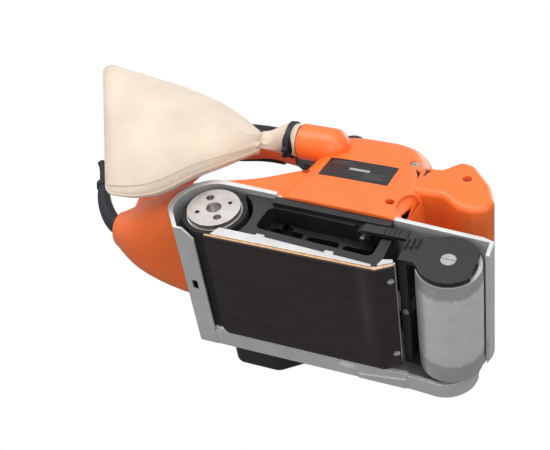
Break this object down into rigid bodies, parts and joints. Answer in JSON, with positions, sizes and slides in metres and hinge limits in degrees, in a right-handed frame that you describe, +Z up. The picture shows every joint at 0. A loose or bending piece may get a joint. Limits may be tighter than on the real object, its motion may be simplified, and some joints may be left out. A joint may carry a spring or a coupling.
{
  "type": "handheld belt sander",
  "caption": "Handheld belt sander with cast base, platen and rollers, belt drive, motor housing with grip, release lever and cloth dust bag; no sanding belt fitted.",
  "frame": {"origin": "on the sanding plane under the middle of the platen's flat, midway across the belt", "axes": "+X forward towards the idler roller, +Y to the machine's left (belt cover side), +Z up away from the work"},
  "size_m": [0.3723, 0.19, 0.1852],
  "materials": {
    "cast_aluminium": "satin die casting",
    "black_plastic": "fine texture",
    "orange_plastic": "satin moulded",
    "soft_grip": "matte overmould",
    "plate_black": "printed plate, blank",
    "steel": "machined",
    "zinc_steel": "zinc plated",
    "graphite": "graphite coated cloth",
    "cork": "pressed cork",
    "rubber_black": "ground rubber",
    "roller_alu": "turned, worn",
    "motor_steel": "stacked lamination",
    "copper": "enamelled wire",
    "carbon": "pressed carbon",
    "fan_plastic": "glass filled",
    "sinter": "sintered bronze",
    "canvas": "woven cotton",
    "cord_black": "matte"
  },
  "bodies": {
    "body": {"base_frame": "cast_aluminium", "inner_frame": "black_plastic", "housing_left": "orange_plastic", "housing_right": "orange_plastic", "handle_grip": "soft_grip", "rating_label": "plate_black", "housing_screws": "zinc_steel", "deck_screws": "zinc_steel", "belt_cover": "black_plastic", "belt_cover_screws": "zinc_steel", "platen_plate": "zinc_steel", "cork_layer": "cork", "graphite_pad": "graphite", "platen_screws": "zinc_steel", "drum_bearings": "steel", "counter_bearings": "steel", "drive_belt": "rubber_black", "stator_core": "motor_steel", "stator_coils": "copper", "motor_bearings": "steel", "brush_holders": "sinter", "carbon_brushes": "carbon", "trigger_pin": "steel", "trigger_switch": "black_plastic", "speed_module": "black_plastic", "tension_spring": "steel", "lever_pin": "steel", "dust_duct": "orange_plastic", "cord_boot": "cord_black", "power_cord": "cord_black", "cord_clamp": "black_plastic"},
    "motor_rotor": {"motor_shaft": "steel", "armature_core": "motor_steel", "armature_windings": "copper", "commutator": "copper", "suction_fan": "fan_plastic", "motor_pulley": "steel"},
    "countershaft": {"counter_shaft": "steel", "counter_pulley": "black_plastic", "drive_pinion": "steel"},
    "drum": {"drum_core": "steel", "drum_rubber": "rubber_black", "drum_shaft": "steel", "drum_gear": "steel"},
    "tension_slide": {"tension_stem": "steel", "yoke_pin": "steel"},
    "yoke": {"idler_yoke": "black_plastic", "idler_axle": "steel"},
    "idler": {"idler_roller": "roller_alu", "roller_bushes": "sinter"},
    "release_lever": {"tension_lever": "black_plastic"},
    "tracking_adjuster": {"tracking_knob": "black_plastic", "tracking_spindle": "steel"},
    "trigger_body": {"trigger": "black_plastic"},
    "lock_body": {"lock_button": "black_plastic"},
    "dial_body": {"speed_dial": "black_plastic"},
    "bag_unit": {"dust_bag": "canvas", "bag_collar": "black_plastic", "bag_clip": "cord_black"}
  },
  "joints": [
    {"name": "motor_spin", "type": "hinge", "parent": "body", "child": "motor_rotor", "pos_m": [0.021, 0, 0.097], "axis": [0, 1, 0], "continuous": true},
    {"name": "countershaft_spin", "type": "hinge", "parent": "body", "child": "countershaft", "pos_m": [-0.04683, 0, 0.033], "axis": [0, 1, 0], "continuous": true},
    {"name": "drum_spin", "type": "hinge", "parent": "body", "child": "drum", "pos_m": [-0.071, 0, 0.029], "axis": [0, 1, 0], "continuous": true},
    {"name": "belt_tension", "type": "slide", "parent": "body", "child": "tension_slide", "axis": [1, 0, 0], "range_m": [-0.01, 0], "deforming": ["tension_spring"]},
    {"name": "tracking_tilt", "type": "hinge", "parent": "tension_slide", "child": "yoke", "pos_m": [0.082, 0, 0.024], "axis": [0, 0, 1], "range_deg": [-1.5, 1.5]},
    {"name": "idler_spin", "type": "hinge", "parent": "yoke", "child": "idler", "pos_m": [0.113, 0, 0.024], "axis": [0, 1, 0], "continuous": true},
    {"name": "release_lever_turn", "type": "hinge", "parent": "body", "child": "release_lever", "pos_m": [0.045, -0.046, 0.04], "axis": [0, 0, -1], "range_deg": [0, 100]},
    {"name": "tracking_knob_turn", "type": "hinge", "parent": "body", "child": "tracking_adjuster", "pos_m": [0.079, 0.076, 0.03], "axis": [0, 1, 0], "range_deg": [-180, 180]},
    {"name": "trigger_pull", "type": "hinge", "parent": "body", "child": "trigger_body", "pos_m": [-0.061, 0, 0.1605], "axis": [0, -1, 0], "range_deg": [0, 8]},
    {"name": "lock_press", "type": "slide", "parent": "body", "child": "lock_body", "axis": [0, -1, 0], "range_m": [0, 0.0028]},
    {"name": "dial_turn", "type": "hinge", "parent": "body", "child": "dial_body", "pos_m": [-0.01, -0.026, 0.157], "axis": [0, 1, 0], "range_deg": [0, 270]},
    {"name": "bag_pull_off", "type": "slide", "parent": "body", "child": "bag_unit", "axis": [-1, 0, 0], "range_m": [0, 0.04]}
  ],
  "couplings": [
    {"joint": "countershaft_spin", "follows": "motor_spin", "ratio": 0.27286},
    {"joint": "drum_spin", "follows": "motor_spin", "ratio": -0.13229},
    {"joint": "release_lever_turn", "follows": "belt_tension", "rad_per_m": -174.53},
    {"joint": "tracking_knob_turn", "follows": "tracking_tilt", "ratio": 120}
  ]
}
